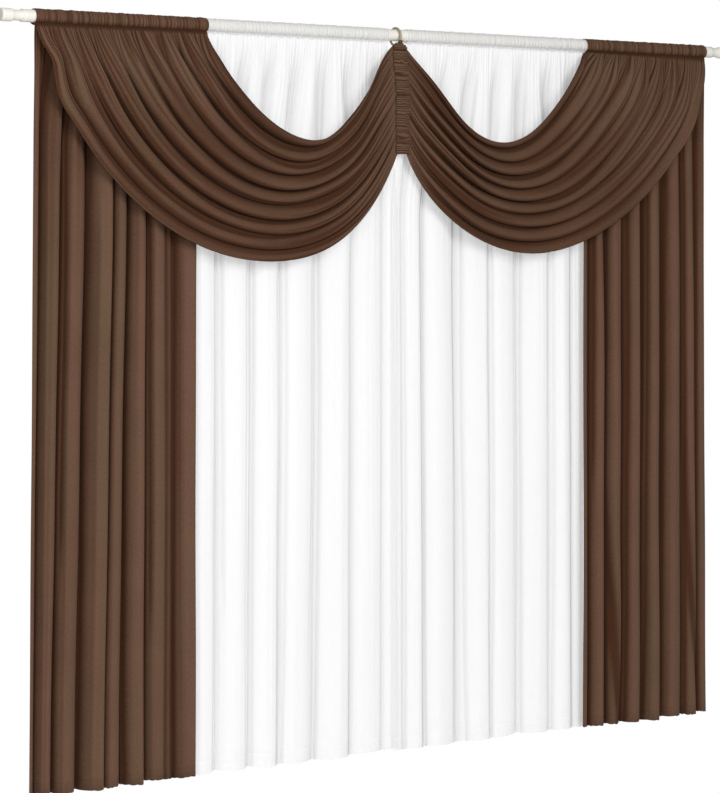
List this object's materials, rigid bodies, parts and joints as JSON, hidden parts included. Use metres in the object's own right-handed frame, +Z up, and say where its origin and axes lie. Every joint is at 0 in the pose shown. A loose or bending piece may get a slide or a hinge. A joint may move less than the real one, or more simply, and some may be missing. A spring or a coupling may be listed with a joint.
{
  "type": "curtain set and rod",
  "caption": "Curtain set on a straight rod: gathered brown side panels, sheer white middle panels and a draped swag valance that meets in a ruched strip hung from a ring.",
  "frame": {"origin": "on the rod's axis at mid-length, where the rod is held up", "axes": "+X along the rod to the viewer's right, +Z up, -Y out of the curtain's face into the room"},
  "size_m": [2.166, 0.0936, 1.7028],
  "materials": {
    "brown_jersey": "soft matte knit",
    "white_voile": "sheer weave",
    "white_rod": "satin paint",
    "beige_ring": "satin"
  },
  "bodies": {
    "root": {"rod": "white_rod", "finial_left": "white_rod", "finial_right": "white_rod", "swag_ring": "beige_ring", "hanging_loop": "brown_jersey", "centre_strip": "brown_jersey", "swag_left": "brown_jersey", "swag_right": "brown_jersey", "side_panel_left": "brown_jersey", "side_panel_right": "brown_jersey", "sheer_left": "white_voile", "sheer_right": "white_voile"}
  },
  "joints": []
}
